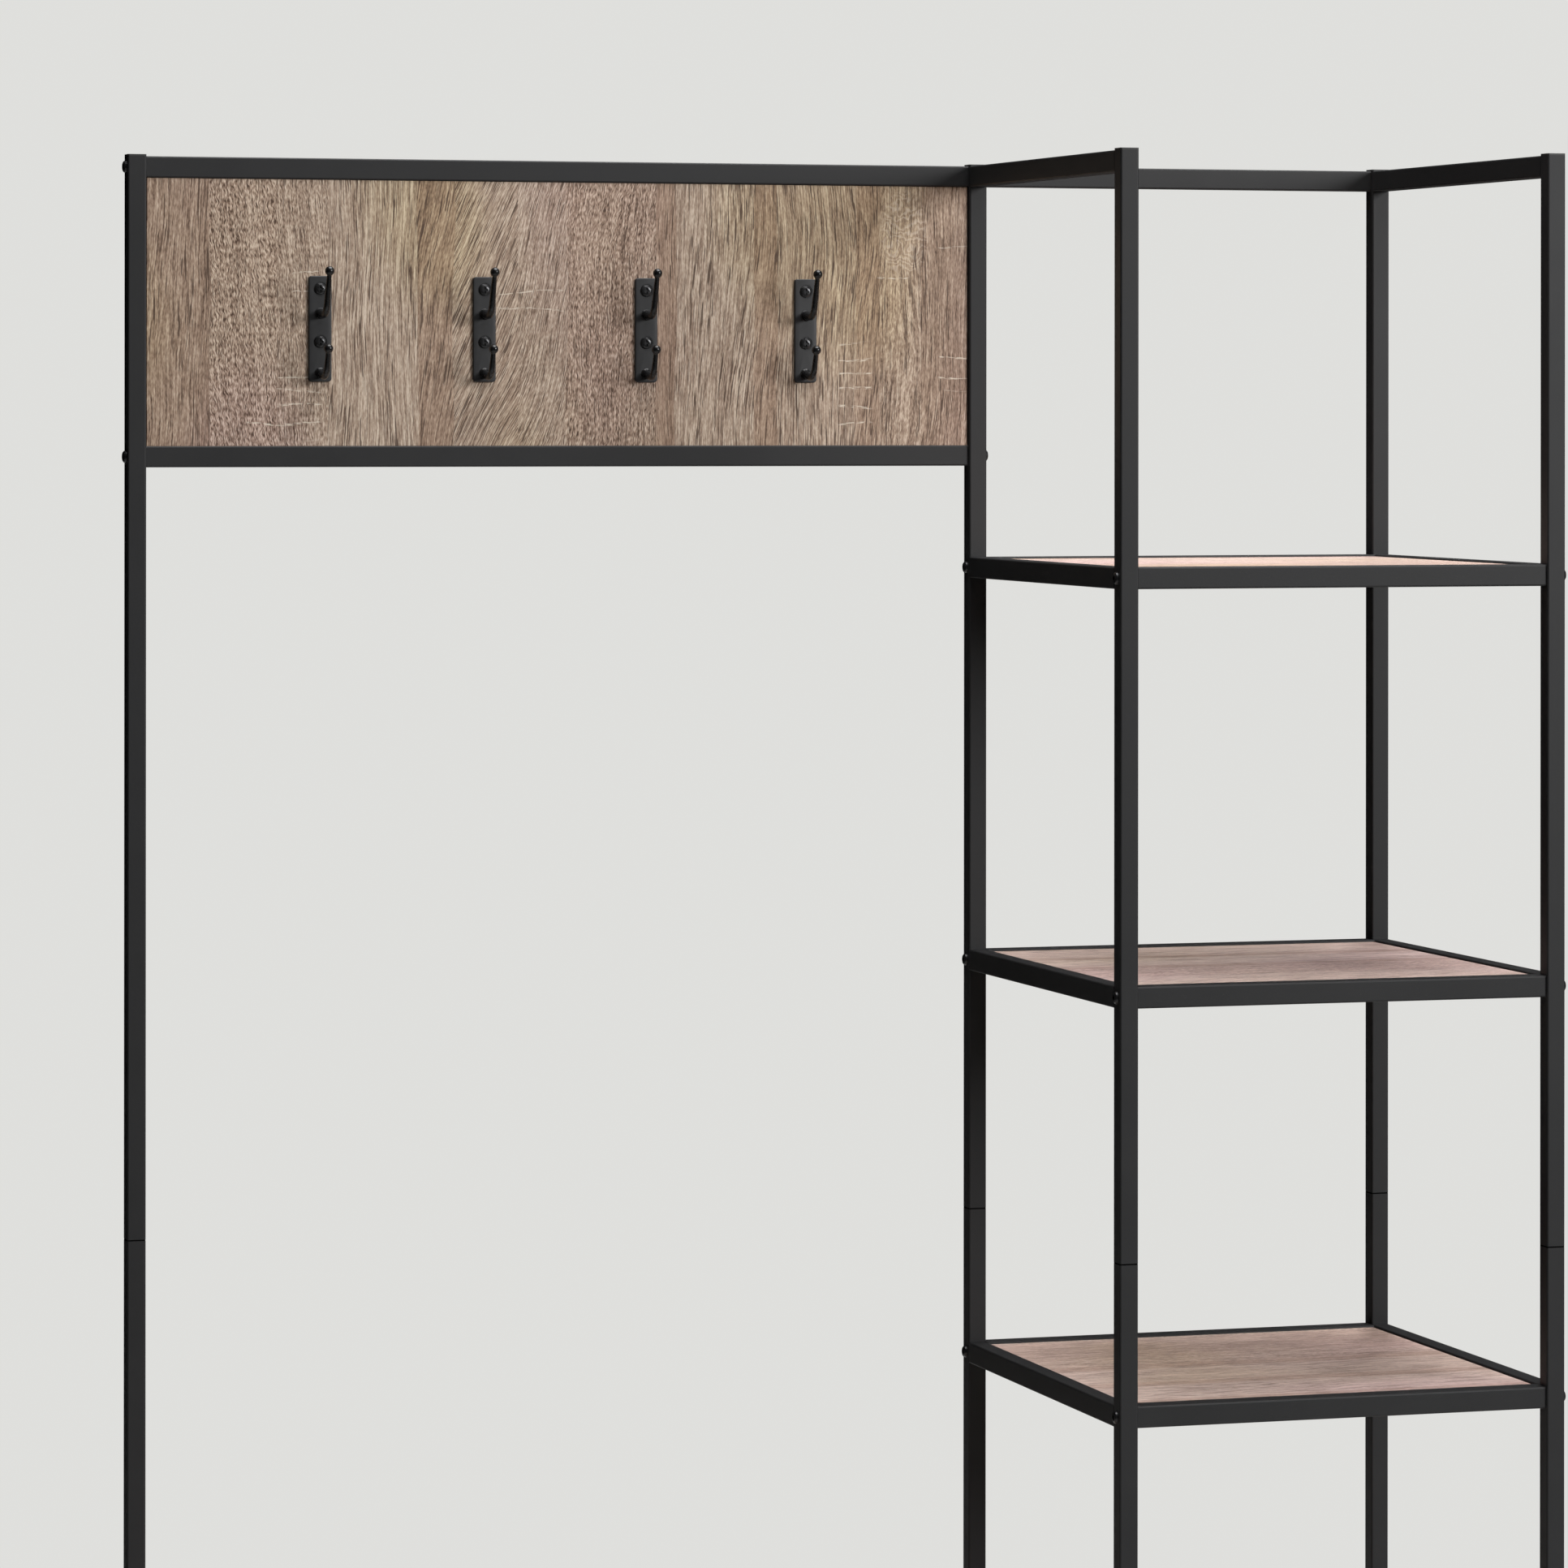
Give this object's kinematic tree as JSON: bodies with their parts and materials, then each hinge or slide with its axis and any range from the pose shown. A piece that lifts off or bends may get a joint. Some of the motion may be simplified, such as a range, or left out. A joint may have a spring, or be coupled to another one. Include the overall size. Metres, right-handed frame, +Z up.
{
  "type": "hall tree",
  "caption": "Hall tree of square steel tube: an open shelf tower, a wooden panel with double coat hooks beside it, and a bench with a shoe shelf below.",
  "frame": {"origin": "on the floor, under the middle of the whole outline", "axes": "+Z up, +X to the right as seen from the front, where the shelf tower is, +Y to the back"},
  "size_m": [1.15, 0.4, 1.83],
  "materials": {
    "frame_steel": "black powder coat, fine and satin",
    "hook_panel_wood": "weathered taupe oak laminate on particle board, upright grain",
    "shelf_wood": "weathered taupe oak laminate on particle board, grain left to right, slight sheen",
    "black_plastic": "matt black",
    "hook_metal": "satin black paint",
    "hook_screw_metal": "black oxide",
    "bolt_metal": "black oxide",
    "board_screw_metal": "zinc plated"
  },
  "bodies": {
    "root": {"bench_back_post_lower": "frame_steel", "bench_back_post_upper": "frame_steel", "bench_front_leg": "frame_steel", "board_screws": "board_screw_metal", "foot_glides": "black_plastic", "frame_bolts_and_studs": "bolt_metal", "hook_1": "hook_metal", "hook_2": "hook_metal", "hook_3": "hook_metal", "hook_4": "hook_metal", "hook_frame_bottom_rail": "frame_steel", "hook_frame_top_rail": "frame_steel", "hook_panel": "hook_panel_wood", "hook_screws": "hook_screw_metal", "post_caps": "black_plastic", "post_sleeves": "black_plastic", "seat_back_rail": "frame_steel", "seat_board": "shelf_wood", "seat_front_rail": "frame_steel", "seat_side_rail": "frame_steel", "shelf_1_back_rail": "frame_steel", "shelf_1_board": "shelf_wood", "shelf_1_front_rail": "frame_steel", "shelf_1_left_rail": "frame_steel", "shelf_1_right_rail": "frame_steel", "shelf_2_back_rail": "frame_steel", "shelf_2_board": "shelf_wood", "shelf_2_front_rail": "frame_steel", "shelf_2_left_rail": "frame_steel", "shelf_2_right_rail": "frame_steel", "shelf_3_back_rail": "frame_steel", "shelf_3_board": "shelf_wood", "shelf_3_front_rail": "frame_steel", "shelf_3_left_rail": "frame_steel", "shelf_3_right_rail": "frame_steel", "shelf_4_back_rail": "frame_steel", "shelf_4_board": "shelf_wood", "shelf_4_front_rail": "frame_steel", "shelf_4_left_rail": "frame_steel", "shelf_4_right_rail": "frame_steel", "shelf_5_back_rail": "frame_steel", "shelf_5_board": "shelf_wood", "shelf_5_front_rail": "frame_steel", "shelf_5_left_rail": "frame_steel", "shelf_5_right_rail": "frame_steel", "shoe_shelf_back_rail": "frame_steel", "shoe_shelf_board": "shelf_wood", "shoe_shelf_front_rail": "frame_steel", "shoe_shelf_side_rail": "frame_steel", "tower_inner_back_post_lower": "frame_steel", "tower_inner_back_post_upper": "frame_steel", "tower_inner_front_post_lower": "frame_steel", "tower_inner_front_post_upper": "frame_steel", "tower_outer_back_post_lower": "frame_steel", "tower_outer_back_post_upper": "frame_steel", "tower_outer_front_post_lower": "frame_steel", "tower_outer_front_post_upper": "frame_steel", "tower_top_back_rail": "frame_steel", "tower_top_left_rail": "frame_steel", "tower_top_right_rail": "frame_steel"}
  },
  "joints": []
}
